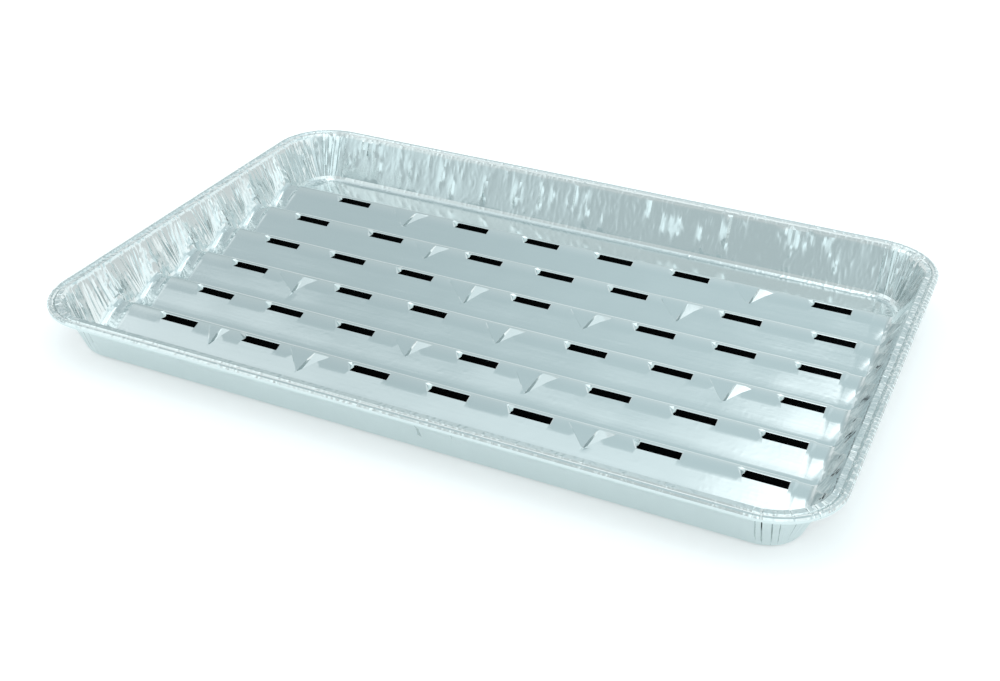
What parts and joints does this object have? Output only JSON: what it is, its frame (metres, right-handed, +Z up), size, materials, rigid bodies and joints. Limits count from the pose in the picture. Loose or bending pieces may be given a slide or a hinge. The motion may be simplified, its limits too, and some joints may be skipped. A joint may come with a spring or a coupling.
{
  "type": "foil roasting pan",
  "caption": "Shallow rectangular pan pressed from aluminium foil, with a curled rim, gathered walls and a ribbed floor with drip slots.",
  "frame": {"origin": "centre of the footprint on the table, under the pan", "axes": "+X along the length, +Y across the width towards the far long wall, +Z up"},
  "size_m": [0.345, 0.232, 0.024],
  "materials": {
    "foil": "bright rolled foil"
  },
  "bodies": {
    "root": {"foil_pan": "foil"}
  },
  "joints": []
}
